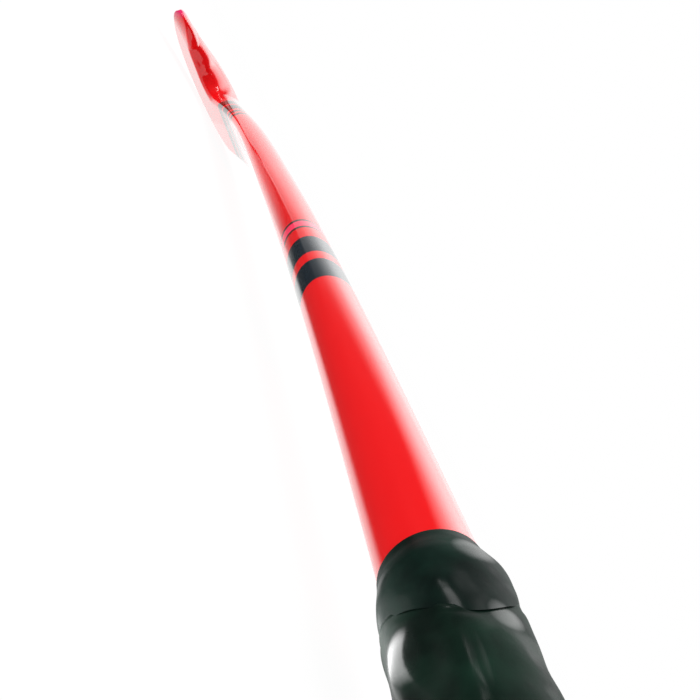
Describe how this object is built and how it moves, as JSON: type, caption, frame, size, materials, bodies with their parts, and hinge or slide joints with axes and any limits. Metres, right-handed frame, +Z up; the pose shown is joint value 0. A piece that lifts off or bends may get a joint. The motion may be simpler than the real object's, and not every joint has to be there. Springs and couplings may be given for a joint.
{
  "type": "hockey stick",
  "caption": "Field hockey stick: a bowed laminate shaft with a flat playing side, a hooked head, foam cores, a plugged butt and a tape-wound grip.",
  "frame": {"origin": "on the floor under the middle of the stick's bounding box, with the stick lying flat side down on the head's edge and the butt cap", "axes": "+X along the stick from the butt to the head, +Y towards the toe, +Z up, out of the rounded back"},
  "size_m": [0.927, 0.1118, 0.0475],
  "materials": {
    "lacquered_laminate": "clear gloss lacquer over a red composite laminate, with printed dark bands",
    "bare_laminate": "bare woven laminate",
    "plug_plastic": "moulded",
    "cap_rubber": "satin moulded rubber",
    "damper_rubber": "matte",
    "shaft_foam": "closed-cell foam",
    "head_foam": "closed-cell rigid foam",
    "cushion": "soft foam rubber",
    "grip_tape": "glossy dark green-black polyurethane tape",
    "grip_collar": "glossy dark green-black finishing wrap"
  },
  "bodies": {
    "root": {"laminate_shell": "lacquered_laminate", "handle_sleeve": "bare_laminate", "butt_plug": "plug_plastic", "butt_cap": "cap_rubber", "damper_insert": "damper_rubber", "shaft_foam_core": "shaft_foam", "head_foam_core": "head_foam", "grip_underlay": "cushion", "grip_tape": "grip_tape", "grip_collar": "grip_collar"}
  },
  "joints": []
}
